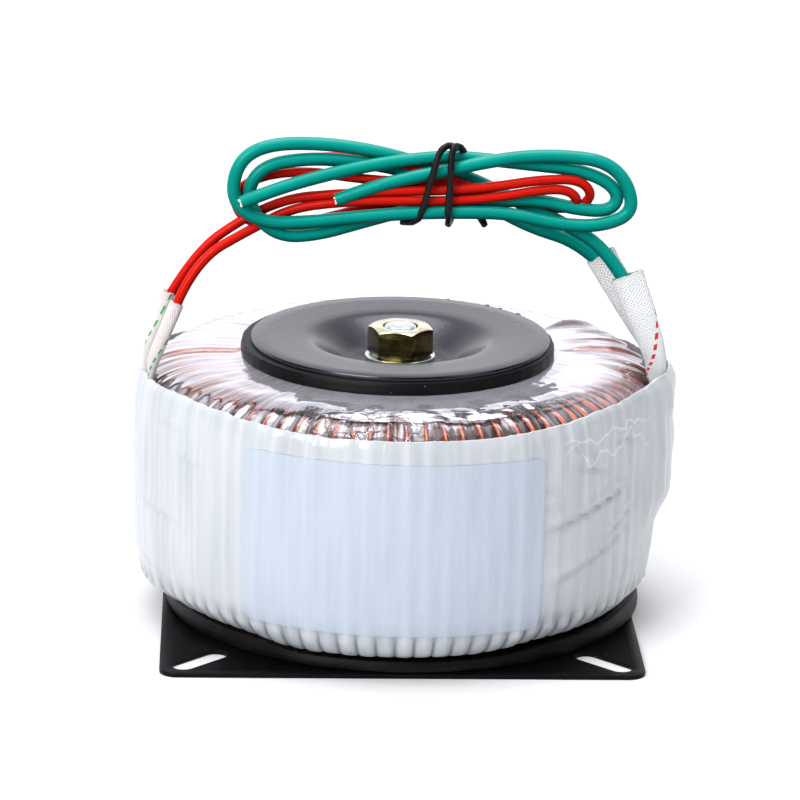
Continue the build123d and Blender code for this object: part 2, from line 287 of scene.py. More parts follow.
def copy_of_node(node, bevel):
    """A CAD node's own form with its edges broken by a small bevel, in millimetres."""
    obj = bpy.data.objects.new(node + "_made", cad[node].data.copy())
    bpy.context.scene.collection.objects.link(obj)
    obj.data.materials.clear()
    edit(obj)
    bpy.ops.mesh.remove_doubles(threshold=0.001 * MM)
    bpy.ops.mesh.dissolve_limited(angle_limit=math.radians(1))
    leave()
    cut = obj.modifiers.new("edges", "BEVEL")
    cut.width = bevel * MM
    cut.segments = 2
    cut.limit_method = "ANGLE"
    cut.angle_limit = math.radians(30)
    apply_modifiers(obj)
    smooth(obj, 35)
    return obj


def wavy(x, y, z, size):
    """Smooth noise from about -1 to 1, with bumps of a size in millimetres."""
    return noise.noise(Vector((x, y, z)) / size)


def dome(r):
    """How far the ring's top has fallen at a radius: flat by the pad and rounded off at the rim."""
    t = min(1.0, max(0.0, (r - DOME_START_R) / (FILM_R - DOME_START_R)))
    return DOME_DROP * (1 - (1 - t**DOME_CURVE) ** (1 / DOME_CURVE))


def ring_outline(depth, radii):
    """The wound ring's outline at a depth under its film, as (radius, height) points from the foot
    round the outside. The radii are where the dome has its points."""
    foot = FILM_LOW.z
    points = [(50.6, foot), (56.0, foot + 6.8), (FILM_R, foot + 18.8)]
    points += [(FILM_R, 40), (FILM_R, FILM_TOP - DOME_DROP)]
    points += [(r, FILM_TOP - dome(r)) for r in radii]
    points += [(28, FILM_TOP), (22.6, FILM_TOP), (21.1, FILM_TOP - 0.5), (FILM_BORE_R, FILM_TOP - 2.2)]
    points += [(FILM_BORE_R, 30), (FILM_BORE_R, foot + 2.2), (21.1, foot + 0.5), (22.6, foot)]
    points = [Vector(p) for p in points]
    moved = []
    for before, point, after in zip(points[-1:] + points[:-1], points, points[1:] + points[:1]):
        come, go = (point - before).normalized(), (after - point).normalized()
        inwards = Vector((-come.y, come.x)) + Vector((-go.y, go.x))
        moved.append(point + inwards * (depth / (1 + come.dot(go))))
    return [tuple(p) for p in moved]


def near(angle, centre):
    """Degrees from one angle to another, the short way round."""
    return (angle - centre + 180) % 360 - 180


def rise(value, low, high):
    """0 below low, 1 above high and smooth between."""
    t = min(1.0, max(0.0, (value - low) / (high - low)))
    return t * t * (3 - 2 * t)


# ---------------------------------------------------------------- materials
def colour(code):
    """An sRGB hex colour as linear RGBA."""
    channels = [int(code[i : i + 2], 16) / 255 for i in (1, 3, 5)]
    linear = [c / 12.92 if c <= 0.04045 else ((c + 0.055) / 1.055) ** 2.4 for c in channels]
    return (*linear, 1.0)


def node(tree, kind, inputs=(), **settings):
    """Adds a shader node with its settings. Its inputs are named in a dict or listed in their own
    order. An output is linked, and a node stands for its first output in use."""
    made = tree.nodes.new("ShaderNode" + kind)
    for name, value in settings.items():
        setattr(made, name, value)
    for name, value in inputs.items() if isinstance(inputs, dict) else enumerate(inputs):
        if isinstance(value, bpy.types.Node):
            value = next(output for output in value.outputs if output.enabled)
        if isinstance(value, bpy.types.NodeSocket):
            tree.links.new(value, made.inputs[name])
        else:
            made.inputs[name].default_value = value
    return made


def new_surface(name):
    material = bpy.data.materials.new(name)
    material.use_nodes = True
    material.node_tree.nodes.clear()
    return material, material.node_tree


def finish_surface(tree, **inputs):
    """Adds the shader, whose inputs have underscores for spaces, and joins it to the output."""
    shader = node(tree, "BsdfPrincipled", {k.replace("_", " "): v for k, v in inputs.items()})
    node(tree, "OutputMaterial", {"Surface": shader})


def ramp(tree, factor, stops):
    made = node(tree, "ValToRGB", {"Fac": factor})
    points = made.color_ramp.elements
    for k, (place, value) in enumerate(stops):
        point = points[k] if k < 2 else points.new(place)
        point.position = place
        point.color = value
    return made


def grain(tree, size_mm, detail=3.0, rough=0.5, vector=None):
    """Noise whose grains are about a size in millimetres across, on Object coordinates."""
    place = vector or node(tree, "TexCoord").outputs["Object"]
    scale = 1 / (size_mm * MM)
    return node(tree, "TexNoise", {"Vector": place, "Scale": scale, "Detail": detail, "Roughness": rough})


def plane_noise(tree, x, y, detail):
    """Noise over a plane of two values, with grains about one unit across."""
    place = node(tree, "CombineXYZ", (x, y))
    return node(tree, "TexNoise", {"Vector": place, "Scale": 1.0, "Detail": detail})


def bump(tree, height, depth_mm, normal=None):
    inputs = {"Height": height, "Distance": depth_mm * MM}
    if normal:
        inputs["Normal"] = normal
    return node(tree, "Bump", inputs)


def maths(tree, operation, *values):
    return node(tree, "Math", values, operation=operation)


def dusty(tree, base, pitch_mm):
    """A colour with a sparse sprinkle of pale specks of dust."""
    place = node(tree, "TexCoord").outputs["Object"]
    cells = node(tree, "TexVoronoi", {"Vector": place, "Scale": 1 / (pitch_mm * MM)})
    chance = node(tree, "SeparateXYZ", (cells.outputs["Color"],)).outputs["X"]
    small = maths(tree, "LESS_THAN", cells.outputs["Distance"], 0.055)
    some = maths(tree, "GREATER_THAN", chance, 0.55)
    speck = maths(tree, "MULTIPLY", maths(tree, "MULTIPLY", small, some), 0.5)
    return node(tree, "Mix", {0: speck, 6: base, 7: colour("#A9AAB0")}, data_type="RGBA")


def powder_coat(name, base, rough, shine, dust_mm, sheen_tint="#FFFFFF"):
    """Powder coat on steel sheet: a soft sheen over a faint orange peel, with a little dust."""
    material, tree = new_surface(name)
    finish_surface(
        tree, Base_Color=dusty(tree, colour(base), dust_mm), Roughness=rough, Specular_IOR_Level=shine,
        Specular_Tint=colour(sheen_tint), Normal=bump(tree, grain(tree, 1.2), 0.04),
    )
    return material


def cut_rubber(name):
    """Cut sheet rubber: dull black, with a gritty skin that catches the light at its rim."""
    material, tree = new_surface(name)
    grit = grain(tree, 0.7, detail=5.0, rough=0.65)
    shade = ramp(tree, grain(tree, 6.0), [(0.3, colour("#060607")), (0.75, colour("#121214"))])
    finish_surface(tree, Base_Color=dusty(tree, shade, 2.6), Roughness=0.45, Specular_IOR_Level=0.14,
                   Normal=bump(tree, grit, 0.06))
    return material


def zinc_plate(name, base, rough):
    """Bright zinc plating on steel, a little cloudy."""
    material, tree = new_surface(name)
    shade = ramp(tree, grain(tree, 2.5), [(0.3, colour(base)), (0.8, colour("#F4F6F8"))])
    finish_surface(tree, Base_Color=shade, Metallic=1.0, Roughness=rough,
                   Normal=bump(tree, grain(tree, 0.6), 0.015))
    return material


def yellow_zinc(name):
    """Yellow chromate on zinc plate: dark olive gold on the flats that drifts to green and rose, and a
    pale painted reflection on the faces that look up."""
    material, tree = new_surface(name)
    drift = grain(tree, 3.5, detail=2.0)
    flats = ramp(tree, drift, [
        (0.30, colour("#3C4420")), (0.62, colour("#6A4E38")), (0.42, colour("#5C5428")),
        (0.52, colour("#6B6638")), (0.75, colour("#4A4724"))])
    # Painted reflection: the faces that look up get this pale, near-white copy of the plating's colour.
    thin = ramp(tree, drift, [
        (0.35, colour("#D6DEC4")), (0.65, colour("#ECD4C6")), (0.48, colour("#E8E2B8"))])
    up = node(tree, "SeparateXYZ", (node(tree, "TexCoord").outputs["Normal"],)).outputs["Z"]
    painted_glare_share = node(tree, "MapRange", (up, 0.3, 0.85))
    shade = node(tree, "Mix", {0: painted_glare_share, 6: flats, 7: thin}, data_type="RGBA")
    finish_surface(tree, Base_Color=shade, Metallic=1.0, Roughness=0.14,
                   Normal=bump(tree, grain(tree, 0.8), 0.012))
    return material


def enamelled_copper(name):
    """Copper wire under clear enamel: red-brown metal with a glassy skin."""
    material, tree = new_surface(name)
    shade = ramp(tree, grain(tree, 9.0), [(0.3, colour("#86341B")), (0.75, colour("#B05F36"))])
    finish_surface(tree, Base_Color=shade, Metallic=1.0, Roughness=0.25,
                   Coat_Weight=0.5, Coat_Roughness=0.06)
    return material


def plain(name, base, rough, metallic=0.0, grain_mm=1.5, depth=0.02, shine=0.5):
    """A plain moulded or taped surface with a little grain."""
    material, tree = new_surface(name)
    finish_surface(tree, Base_Color=colour(base), Roughness=rough, Metallic=metallic,
                   Specular_IOR_Level=shine, Normal=bump(tree, grain(tree, grain_mm), depth))
    return material


def pvc_lead(name, base, gloss):
    """Extruded PVC insulation: even colour with a faintly uneven skin, a painted shade where it faces
    down, and a painted highlight from a coat laid on only where it faces up."""
    material, tree = new_surface(name)
    # deep is a painted shade of the base colour, mixed in on the faces that look down.
    worn, deep = ((*(channel * share for channel in base), 1.0) for share in (0.88, 0.24))
    shade = ramp(tree, grain(tree, 14.0), [(0.3, worn), (0.7, (*base, 1.0))])
    up = node(tree, "SeparateXYZ", (node(tree, "TexCoord").outputs["Normal"],)).outputs["Z"]
    lit = node(tree, "MapRange", (up, -0.8, 0.4))
    shade = node(tree, "Mix", {0: lit, 6: deep, 7: shade}, data_type="RGBA")
    # Painted highlight: the coat is laid on only where the lead faces up.
    coat = node(tree, "MapRange", (up, 0.2, 0.85, 0.05, gloss))
    finish_surface(tree, Base_Color=shade, Roughness=0.4, Specular_IOR_Level=0.02,
                   Coat_Weight=coat, Coat_Roughness=0.08, Coat_IOR=1.45,
                   Normal=bump(tree, grain(tree, 2.2), 0.03))
    return material


def film_over_tape(name, base, light, shadow):
    """White tape under clear film: milky white with fine upright lines from the wires below it, a painted
    shade in the valleys between them, and the film's wrinkled, mirror-bright skin."""
    material, tree = new_surface(name)
    place = node(tree, "TexCoord").outputs["Object"]
    height = node(tree, "SeparateXYZ", (place,)).outputs["Z"]
    turn = node(tree, "SeparateXYZ", (node(tree, "UVMap", uv_map="round"),)).outputs["X"]
    upright = node(tree, "Mapping", {"Vector": place, "Scale": (1.0, 1.0, 0.35)})
    creases = grain(tree, 7.0, detail=4.0, rough=0.55, vector=upright)
    fine = grain(tree, 1.4, detail=2.0)
    lines = plane_noise(
        tree, maths(tree, "MULTIPLY", turn, 190.0), maths(tree, "MULTIPLY", height, 30.0), 2.0)
    clean = ramp(tree, lines, [(0.3, colour(base)), (0.66, colour(light))])
    # Painted shade: the colour is pulled towards the shadow colour in the valleys between turns and on the
    # creases' shadow side.
    valley_shade = node(tree, "Attribute", attribute_name="valley_shade").outputs["Fac"]
    shade = node(tree, "Mix", {0: valley_shade, 6: clean, 7: colour(shadow)}, data_type="RGBA")
    # The film's own wavy edges above the right end of the label, drawn as painted highlight lines in the
    # tape's colour.
    off_edges = maths(tree, "ABSOLUTE", maths(tree, "SUBTRACT", turn, 0.893))
    at_edges = node(tree, "MapRange", (off_edges, 0.030, 0.052, 1.0, 0.0))
    for start, middle, reach in ((3.0, 0.0480, 0.018), (11.0, 0.0515, 0.013)):
        sweep = plane_noise(tree, maths(tree, "MULTIPLY", turn, 52.0), start, 1.4)
        level = maths(tree, "MULTIPLY_ADD", maths(tree, "SUBTRACT", sweep, 0.5), reach, middle)
        off_level = maths(tree, "ABSOLUTE", maths(tree, "SUBTRACT", height, level))
        edge = node(tree, "MapRange", (off_level, 0.08 * MM, 0.45 * MM, 0.42, 0.0))
        pale = {0: maths(tree, "MULTIPLY", edge, at_edges), 6: shade, 7: colour("#EDEFF1")}
        shade = node(tree, "Mix", pale, data_type="RGBA")
    finish_surface(
        tree, Base_Color=shade, Roughness=0.5, Specular_IOR_Level=0.25,
        Normal=bump(tree, lines, 0.035, bump(tree, fine, 0.02, bump(tree, creases, 0.55))),
        Coat_Weight=0.6, Coat_Roughness=0.05, Coat_IOR=1.5, Coat_Normal=bump(tree, creases, 0.9),
    )
    return material


def clear_film(name, turns):
    """Many layers of clear polyester film: together they reflect nearly like a mirror where they
    are seen at a slant, and show the copper under them where they are seen square on."""
    material, tree = new_surface(name)
    parts = node(tree, "SeparateXYZ", (node(tree, "UVMap", uv_map="round"),))
    turn, distance = parts.outputs["X"], parts.outputs["Y"]

    def away_from(centre):
        """The share of a turn from a place round the ring, either way."""
        return maths(tree, "PINGPONG", maths(tree, "ADD", turn, -centre), 0.5)

    def streaky(round_scale, out_scale, detail):
        """Noise drawn out into streaks from the bore to the rim."""
        return plane_noise(tree, maths(tree, "MULTIPLY", turn, round_scale),
                           maths(tree, "MULTIPLY", distance, out_scale), detail)

    # Drawn smooth on the flat in front and on the right.
    off_front_right = away_from(0.88)
    drawn = node(tree, "MapRange", (off_front_right, 0.19, 0.27, 0.85, 0.3))
    drawn = maths(tree, "MULTIPLY", drawn, node(tree, "MapRange", (distance, 0.465, 0.515, 1.0, 0.0)))
    streaks = node(tree, "Mix", {0: drawn, 2: streaky(260.0, 5.0, 3.0), 3: 0.62}, data_type="FLOAT")
    tint = ramp(tree, streaks, [
        (0.32, colour("#BC9C94")), (0.60, colour("#E0DFEA")), (0.46, colour("#CFC7CE"))])
    # Milkier the more it is seen at a slant.
    slant = node(tree, "LayerWeight", {"Blend": 0.5}).outputs["Facing"]
    uneven = maths(tree, "MULTIPLY", maths(tree, "SUBTRACT", streaks, 0.5), 0.5)
    veil = maths(tree, "ADD", maths(tree, "MULTIPLY", slant, 1.15), uneven)
    veil = node(tree, "MapRange", (veil, 0.32, 0.86, 0.05, 0.94))
    # Stretched between the turns on the shoulder, where it mirrors more.
    across_turn = maths(tree, "PINGPONG", maths(tree, "MULTIPLY", turn, float(turns)), 0.5)
    off_wire = node(tree, "MapRange", (across_turn, 0.13, 0.25))
    shoulder = node(tree, "MapRange", (distance, 0.46, 0.53))
    rim = node(tree, "MapRange", (distance, 0.563, 0.575, 1.0, 0.3))
    stretched = maths(tree, "MULTIPLY", maths(tree, "MULTIPLY", off_wire, shoulder), rim)
    brightness = node(tree, "MapRange", (off_front_right, 0.10, 0.27, 0.45, 2.2))
    stretched = maths(tree, "MULTIPLY", stretched, maths(tree, "MULTIPLY_ADD", streaks, brightness, -0.22))
    veil = maths(tree, "MAXIMUM", veil, stretched)
    # Open along a narrow seam.
    sharpness = node(tree, "MapRange", (distance, 0.40, 0.56, 620.0, 300.0))
    off_seam = maths(tree, "ABSOLUTE", maths(tree, "SUBTRACT", turn, 0.4965))
    off_seam = maths(tree, "POWER", maths(tree, "MULTIPLY", off_seam, sharpness), 4.0)
    whole = maths(tree, "MINIMUM", 1.0, off_seam)
    # Thin where the film is pulled together by the green leads, so that the copper shows as streaks.
    by_leads = node(tree, "MapRange", (away_from(0.03), 0.03, 0.07, 1.0, 0.0))
    pulled = maths(tree, "MULTIPLY", by_leads, node(tree, "MapRange", (distance, 0.38, 0.5)))
    thin = node(tree, "MapRange", (streaky(48.0, 4.0, 2.0), 0.50, 0.62, 0.0, 0.9))
    thin = maths(tree, "MULTIPLY", pulled, thin)
    veil = maths(tree, "MULTIPLY", veil, maths(tree, "SUBTRACT", 1.0, thin))
    # The tint turns brown where the film is thin: partly the copper showing through, partly painted shade in
    # the gathered folds.
    brown = maths(tree, "MULTIPLY", thin, 0.8)
    tint = node(tree, "Mix", {0: brown, 6: tint, 7: colour("#8E5F50")}, data_type="RGBA")
    # Crinkled fine where the last end of the film was stuck down over the rim.
    place = node(tree, "TexCoord").outputs["Object"]
    wander, reach = grain(tree, 4.0).outputs["Color"], (6 * MM, 6 * MM, 6 * MM)
    bent = node(tree, "VectorMath", (wander, reach, place), operation="MULTIPLY_ADD")
    crinkle = node(tree, "TexVoronoi", {"Vector": bent, "Scale": 1 / (4.2 * MM)}, feature="DISTANCE_TO_EDGE")
    from_end = node(tree, "VectorMath", (place, (-0.0085, -0.0550, 0.0550)), operation="DISTANCE")
    at_end = node(tree, "MapRange", (from_end, 0.006, 0.016, 1.0, 0.0))
    crinkled = maths(tree, "MULTIPLY", at_end, node(tree, "MapRange", (crinkle, 0.0, 0.06, 1.0, 0.0)))
    # Loose in front, just inside the shoulder, where it mirrors the dark leads in patches.
    in_front = node(tree, "MapRange", (away_from(0.80), 0.08, 0.14, 1.0, 0.0))
    past_pad = node(tree, "MapRange", (distance, 0.40, 0.44))
    before_shoulder = node(tree, "MapRange", (distance, 0.47, 0.51, 1.0, 0.0))
    loose = maths(tree, "MULTIPLY", in_front, maths(tree, "MULTIPLY", past_pad, before_shoulder))
    waves = maths(tree, "MULTIPLY", grain(tree, 5.5, detail=1.5), loose)
    veil = maths(tree, "MULTIPLY", veil, whole)
    finish_surface(
        tree, Base_Color=tint, Roughness=0.06,
        Metallic=node(tree, "MapRange", (distance, 0.44, 0.52, 0.66, 1.0)),
        Alpha=maths(tree, "MAXIMUM", veil, maths(tree, "MULTIPLY", crinkled, 0.5)),
        Normal=bump(tree, crinkled, 0.12, bump(tree, waves, 1.6, bump(tree, streaks, 0.12))),
    )
    return material


def woven_sleeving(name, yarn, tracer, tracer_turn):
    """Woven glass sleeving: chalk-white yarn in a fine basket weave, with a dashed tracer yarn that
    winds slowly up it from its own turn at the foot."""
    material, tree = new_surface(name)
    parts = node(tree, "SeparateXYZ", (node(tree, "UVMap", uv_map="along"),))
    around, along = parts.outputs["X"], parts.outputs["Y"]

    def waves(value, rate):
        return maths(tree, "SINE", maths(tree, "MULTIPLY", value, 2 * math.pi * rate))

    weave = maths(tree, "MULTIPLY", waves(around, 22), waves(along, 1 / (0.62 * MM)))
    wound = maths(tree, "ADD", maths(tree, "MULTIPLY", along, -1 / (40 * MM)), 0.5 - tracer_turn)
    spiral = maths(tree, "FRACT", maths(tree, "ADD", around, wound))
    in_line = maths(tree, "LESS_THAN", maths(tree, "ABSOLUTE", maths(tree, "SUBTRACT", spiral, 0.5)), 0.026)
    dash = maths(tree, "GREATER_THAN", waves(along, 1 / (2.4 * MM)), -0.2)
    cloth = ramp(tree, weave, [(0.0, colour(yarn)), (1.0, colour("#FFFFFF"))])
    mask = maths(tree, "MULTIPLY", in_line, dash)
    shade = node(tree, "Mix", {0: mask, 6: cloth, 7: colour(tracer)}, data_type="RGBA")
    finish_surface(tree, Base_Color=shade, Roughness=0.8, Normal=bump(tree, weave, 0.15))
    return material


def floor_paint(name, base):
    material, tree = new_surface(name)
    finish_surface(tree, Base_Color=(*base, 1.0), Roughness=0.9)
    return material


# ---------------------------------------------------------------- settings
class TransformerSettings(bpy.types.PropertyGroup):
    turns: IntProperty(name="Turns", description="Copper turns in the outer layer", default=84, min=12)
    film_ridge: FloatProperty(
        name="Film ridge", description="Height of the film over each turn at the rim",
        default=0.32 * MM, unit="LENGTH",
    )
    band_ridge: FloatProperty(
        name="Band ridge", description="Height of the white band over each turn",
        default=0.26 * MM, unit="LENGTH",
    )
    red: FloatVectorProperty(
        name="Red", description="Colour of the primary leads", subtype="COLOR", size=3,
        default=colour("#D01A0D")[:3], min=0, max=1,
    )
    green: FloatVectorProperty(
        name="Green", description="Colour of the secondary leads", subtype="COLOR", size=3,
        default=colour("#009487")[:3], min=0, max=1,
    )
    red_diameter: FloatProperty(
        name="Red lead", description="Outer diameter of a primary lead", default=2.2 * MM, unit="LENGTH"
    )
    green_diameter: FloatProperty(
        name="Green lead", description="Outer diameter of a secondary lead", default=3.0 * MM, unit="LENGTH"
    )


class StageSettings(bpy.types.PropertyGroup):
    floor_colour: FloatVectorProperty(
        name="Floor", description="Colour of the floor", subtype="COLOR", size=3,
        default=(0.77, 0.77, 0.77), min=0, max=1,
    )
    camera_azimuth: FloatProperty(
        name="Azimuth", description="Camera's turn to the object's right",
        default=math.radians(-2.32), subtype="ANGLE",
    )
    camera_elevation: FloatProperty(
        name="Elevation", description="Camera's height above the horizon",
        default=math.radians(16.6), subtype="ANGLE",
    )
    camera_roll: FloatProperty(
        name="Roll", description="Camera's tilt round its own line of sight",
        default=math.radians(1.13), subtype="ANGLE",
    )
    camera_distance: FloatProperty(
        name="Distance", description="Camera to the middle of the object", default=0.98713, unit="LENGTH"
    )
    lens: FloatProperty(name="Lens", description="Focal length", default=195.86, unit="CAMERA")


# ---------------------------------------------------------------- operators
class StageOperator(bpy.types.Operator):
    """Adds the floor, the lights and the camera"""

    bl_idname = "transformer.stage"
    bl_label = "Stage"

    def execute(self, context):
        stage = context.scene.transformer_stage
        deselect()
        bpy.ops.mesh.primitive_plane_add(size=6, location=(0, 0, 0))
        floor = context.active_object
        floor.name = "floor"
        floor.data.materials.append(floor_paint("pale_floor", stage.floor_colour))

        world = bpy.data.worlds.new("studio")
        world.use_nodes = True
        tree = world.node_tree
        tree.nodes.clear()
        x, y, z = node(tree, "SeparateXYZ", (node(tree, "TexCoord").outputs["Generated"],)).outputs
        backdrop, overhead, dim_band = (
            node(tree, "MapRange", inputs, interpolation_type="SMOOTHSTEP")
            for inputs in ((y, 0.1, 0.75, 0.05, 1.45), (z, 0.45, 0.95, 0.0, 1.6), (z, 0.28, 0.42, 1.0, 0.72))
        )
        sideways = node(tree, "MapRange", (x, -0.8, 0.8, 1.12, 0.88))
        glow = maths(tree, "MAXIMUM", maths(tree, "MULTIPLY", backdrop, dim_band), overhead)
        glow = maths(tree, "MULTIPLY", glow, sideways)
        back = node(tree, "Background", {"Color": (0.95, 0.96, 1.0, 1), "Strength": glow})
        node(tree, "OutputWorld", {"Surface": back})
        context.scene.world = world

        for name, place, size, power in (
            ("key", (-0.60, -0.75, 0.60), 0.6, 10.0),
            ("top", (0.0, 0.15, 1.1), 0.8, 6.5),
            ("fill", (0.80, -0.60, 0.45), 0.5, 0.9),
        ):
            lamp = bpy.data.lights.new(name, "AREA")
            lamp.shape = "SQUARE"
            lamp.size = size
            lamp.energy = power
            obj = bpy.data.objects.new(name, lamp)
            context.scene.collection.objects.link(obj)
            obj.location = place
            obj.rotation_euler = (Vector((0, 0, 0.04)) - Vector(place)).to_track_quat("-Z", "Y").to_euler()

        camera = bpy.data.cameras.new("camera")
        camera.lens = stage.lens
        camera.sensor_width = 36
        camera.clip_start = 0.05
        camera.clip_end = 20
        obj = bpy.data.objects.new("camera", camera)
        context.scene.collection.objects.link(obj)
        azimuth, elevation, roll = -stage.camera_azimuth, stage.camera_elevation, stage.camera_roll
        ahead = Vector((math.sin(azimuth) * math.cos(elevation), math.cos(azimuth) * math.cos(elevation),
                        -math.sin(elevation)))
        right = Vector((math.cos(azimuth), -math.sin(azimuth), 0))
        up = right.cross(ahead)
        tilted_right = math.cos(roll) * right + math.sin(roll) * up
        tilted_up = math.cos(roll) * up - math.sin(roll) * right
        aim = 0.00022 * tilted_right + Vector((0, 0, 0.04762))
        turn = Matrix((tilted_right, tilted_up, -ahead)).transposed()
        obj.matrix_world = Matrix.Translation(aim - stage.camera_distance * ahead) @ turn.to_4x4()
        context.scene.camera = obj
        context.scene.view_settings.view_transform = "Standard"
        return {"FINISHED"}


def lead_curve(name, points, diameter, material):
    """A round lead along a smooth line through its control points."""
    line = bpy.data.curves.new(name, "CURVE")
    line.dimensions = "3D"
    spline = line.splines.new("NURBS")
    spline.points.add(len(points) - 1)
    for point, place in zip(spline.points, points):
        point.co = (*place, 1.0)
    spline.order_u = 3
    spline.use_endpoint_u = True
    spline.resolution_u = 12
    line.bevel_depth = diameter / 2
    line.bevel_resolution = 6
    line.use_fill_caps = True
    obj = bpy.data.objects.new(name, line)
    bpy.context.scene.collection.objects.link(obj)
    line.materials.append(material)
    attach(obj, "root")
    return obj


# name: (colour, route, length in metres, CAD nodes that it stands for, other pieces on it)
LEADS = {
    "green_lead_front": (
        "green", GREEN_FRONT, 0.272, ("green_lead_front", "lead_hank"), ("twist_tie_wraps",)),
    "green_lead_rear": ("green", GREEN_REAR, 0.266, ("green_lead_rear",), ()),
    "red_lead_rear": ("red", RED_REAR, 0.241, ("red_lead_rear",), ()),
    "red_lead_front": ("red", RED_FRONT, 0.218, ("red_lead_front",), ()),
}


class LeadsOperator(bpy.types.Operator):
    """Adds the four folded leads and the strands at their cut ends"""

    bl_idname = "transformer.leads"
    bl_label = "Leads"

    def execute(self, context):
        made = context.scene.transformer
        kinds = {
            "red": (made.red_diameter, pvc_lead("red_pvc_insulation", made.red, 0.4)),
            "green": (made.green_diameter, pvc_lead("green_pvc_insulation", made.green, 0.6)),
        }
        tinned = zinc_plate("bare_tinned_strands", "#CDB9A2", 0.3)
        for name, (kind, points, _, stands_for, _) in LEADS.items():
            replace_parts(lead_curve(name + "_run", points, *kinds[kind]), *stands_for)
        for name, (kind, points, *_) in LEADS.items():
            self.strands(name, points, kinds[kind][0], tinned)
        return {"FINISHED"}

    def strands(self, name, points, diameter, material):
        """Seven bare strands, cut off just proud of the insulation."""
        end, before = Vector(points[-1]), Vector(points[-2])
        along = (end - before).normalized()
        turn = along.to_track_quat("Z", "Y")
        wire = diameter * 0.11
        parts = []
        for k in range(7):
            ring = 0 if k == 0 else 2.1 * wire
            side = Vector((ring * math.cos(k * math.pi / 3), ring * math.sin(k * math.pi / 3), 0))
            deselect()
            bpy.ops.mesh.primitive_cylinder_add(
                vertices=12, radius=wire, depth=1.6 * MM,
                location=end + turn @ side - along * (0.5 - 0.08 * (k % 3)) * MM,
                rotation=turn.to_euler(),
            )
            strand = bpy.context.active_object
            edit(strand, "FACE")
            bpy.ops.mesh.select_all(action="DESELECT")
            leave()
            for face in strand.data.polygons:
                face.select = len(face.vertices) == 12
            bpy.ops.object.mode_set(mode="EDIT")
            bpy.ops.mesh.bevel(offset=0.25 * wire, segments=2, affect="EDGES")
            leave()
            parts.append(strand)
        deselect()
        for part in parts:
            part.select_set(True)
        bpy.context.view_layer.objects.active = parts[0]
        bpy.ops.object.join()
        strands = bpy.context.active_object
        settle(strands)
        smooth(strands)
        finish_piece(strands, name + "_strands", material)


class TieOperator(bpy.types.Operator):
    """Adds the twist tie round the folded leads"""

    bl_idname = "transformer.tie"
    bl_label = "Twist tie"

    def execute(self, context):
        black = plain("tie_plastic_over_wire", "#08080A", 0.42, grain_mm=0.9, depth=0.05, shine=0.2)
        line = lead_curve("tie_line", TIE, 1.5 * MM, black)
        line.data.bevel_resolution = 4
        pick(line)
        bpy.ops.object.convert(target="MESH")
        tie = context.active_object
        press(tie, lambda x, y, z: (x + 0.22 * wavy(x, y, z, 1.9), y, z + 0.10 * wavy(z, x, y, 1.6)))
        smooth(tie, 60)
        finish_piece(tie, "twist_tie_wraps", black, ["twist_tie"])
        return {"FINISHED"}


class WindingOperator(bpy.types.Operator):
    """Adds the copper turns of the outer layer"""

    bl_idname = "transformer.winding"
    bl_label = "Winding"

    def execute(self, context):
        turns = context.scene.transformer.turns
        random.seed(7)
        outline = ring_outline(0.16 + WIRE_D / 2, (57.2, 56.2, 54.8, 53.0, 50.8, 48.0, 44.0, 38.0))
        loop = closed_loop(outline)
        leave()
        pick(loop)
        bpy.ops.object.convert(target="CURVE")
        line = context.active_object
        line.data.bevel_depth = WIRE_D / 2 * MM
        line.data.bevel_resolution = 1
        bpy.ops.object.convert(target="MESH")
        turn = context.active_object
        copies = [turn]
        for k in range(1, turns):
            copy = turn.copy()
            copy.data = turn.data.copy()
            context.scene.collection.objects.link(copy)
            copy.rotation_euler.z = math.radians(360 / turns * k + random.uniform(-0.45, 0.45))
            copy.location.z = random.uniform(-0.06, 0.06) * MM
            copies.append(copy)
        deselect()
        for copy in copies:
            copy.select_set(True)
        context.view_layer.objects.active = turn
        bpy.ops.object.join()
        winding = context.active_object
        settle(winding)
        smooth(winding, 60)
        finish_piece(winding, "secondary_turns", enamelled_copper("enamelled_copper_wire"),
                     ["secondary_winding"])
        return {"FINISHED"}


# Folds where the film is gathered by the green leads: angle, turn along the fold, first and last
# radius, height.
FILM_FOLDS = (
    (31.5, 2.0, 38, 47, 1.2), (4.5, 1.7, 35, 44, 1.1), (-7.5, -5.2, 43, 54, 1.3), (17.0, 1.0, 44, 54, 0.6),
    (-1.5, -2.0, 42, 54, 0.8), (10.0, -1.5, 40, 52, 0.7), (24.0, 1.5, 42, 52, 0.6),
)


